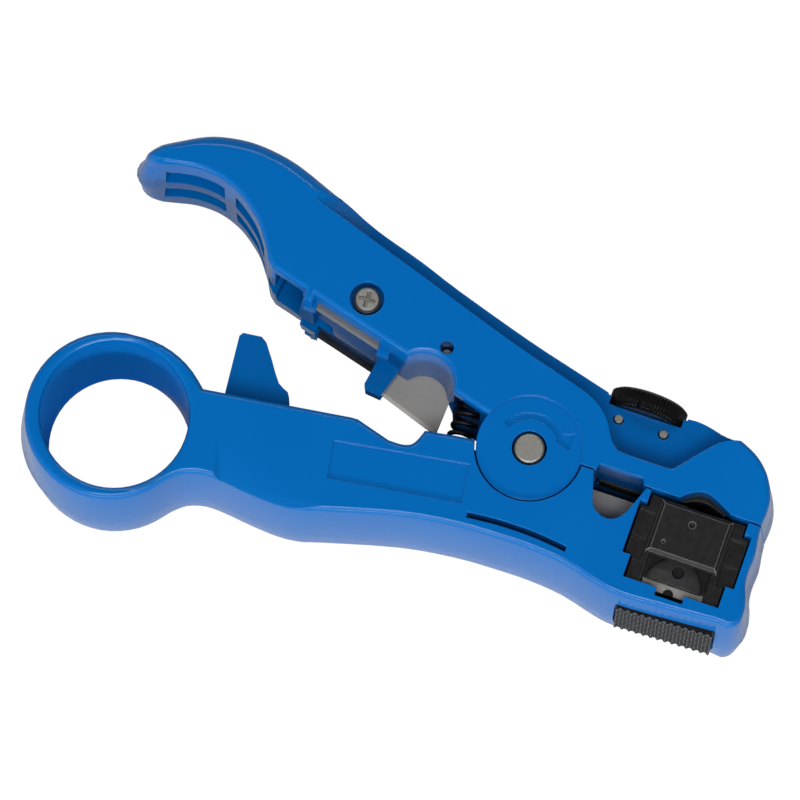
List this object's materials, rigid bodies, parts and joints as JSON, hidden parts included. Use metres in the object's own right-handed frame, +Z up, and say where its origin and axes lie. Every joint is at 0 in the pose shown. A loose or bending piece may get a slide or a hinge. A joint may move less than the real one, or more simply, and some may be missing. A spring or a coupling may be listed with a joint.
{
  "type": "cable stripper",
  "caption": "Hand tool that strips and cuts cable: two hinged plastic levers with a finger ring, a thumb hook, a cable cutter, a blade cassette in the nose and a depth knob.",
  "frame": {"origin": "middle of the tool's length and width, on the back faces that it lies on", "axes": "+X along the jaw line to the nose, +Y from the finger ring side to the knob side, +Z up through the thickness to the face with the cassette's cover"},
  "size_m": [0.1316, 0.0713, 0.0275],
  "materials": {
    "moulded_blue": "satin moulded",
    "black_plastic": "satin",
    "dark_plastic": "satin",
    "blade_steel": "ground",
    "bright_steel": "plated",
    "spring_steel": "blackened"
  },
  "bodies": {
    "ring_lever": {"ring_lever": "moulded_blue", "round_cable_blade": "blade_steel", "grip_pad": "black_plastic", "pivot_rivet": "bright_steel", "handle_spring": "spring_steel"},
    "thumb_lever": {"thumb_lever": "moulded_blue", "cutter_blade": "bright_steel", "blade_screw": "bright_steel", "blade_nut": "bright_steel", "blade_locating_pin": "bright_steel", "flat_cable_blade_front": "blade_steel", "flat_cable_blade_rear": "blade_steel", "knob_pin_left": "bright_steel", "knob_pin_right": "bright_steel", "coax_press_block": "black_plastic"},
    "cassette": {"cassette_body": "black_plastic", "cassette_cover": "black_plastic", "blade_clamp_plate": "dark_plastic", "coax_blade_front": "blade_steel", "coax_blade_middle": "blade_steel", "coax_blade_rear": "blade_steel"},
    "depth_knob": {"depth_knob": "black_plastic"},
    "press_pad": {"press_pad": "black_plastic"}
  },
  "joints": [
    {"name": "handle_pivot", "type": "hinge", "parent": "ring_lever", "child": "thumb_lever", "pos_m": [0.02042, -0.00135, 0.0135], "axis": [0, 0, 1], "range_deg": [0, 22], "stiffness_Nm_per_rad": 0.18, "springref_deg": -18.91, "deforming": ["handle_spring"]},
    {"name": "cassette_slide", "type": "slide", "parent": "ring_lever", "child": "cassette", "axis": [0, 0, 1], "range_m": [0, 0.022]},
    {"name": "knob_turn", "type": "hinge", "parent": "thumb_lever", "child": "depth_knob", "pos_m": [0.03692, 0.01275, 0.0135], "axis": [0, -1, 0], "range_deg": [0, 900]},
    {"name": "press_pad_slide", "type": "slide", "parent": "thumb_lever", "child": "press_pad", "axis": [0, 1, 0], "range_m": [0, 0.0025]}
  ],
  "couplings": [
    {"joint": "knob_turn", "follows": "press_pad_slide", "rad_per_m": 6283.2}
  ]
}
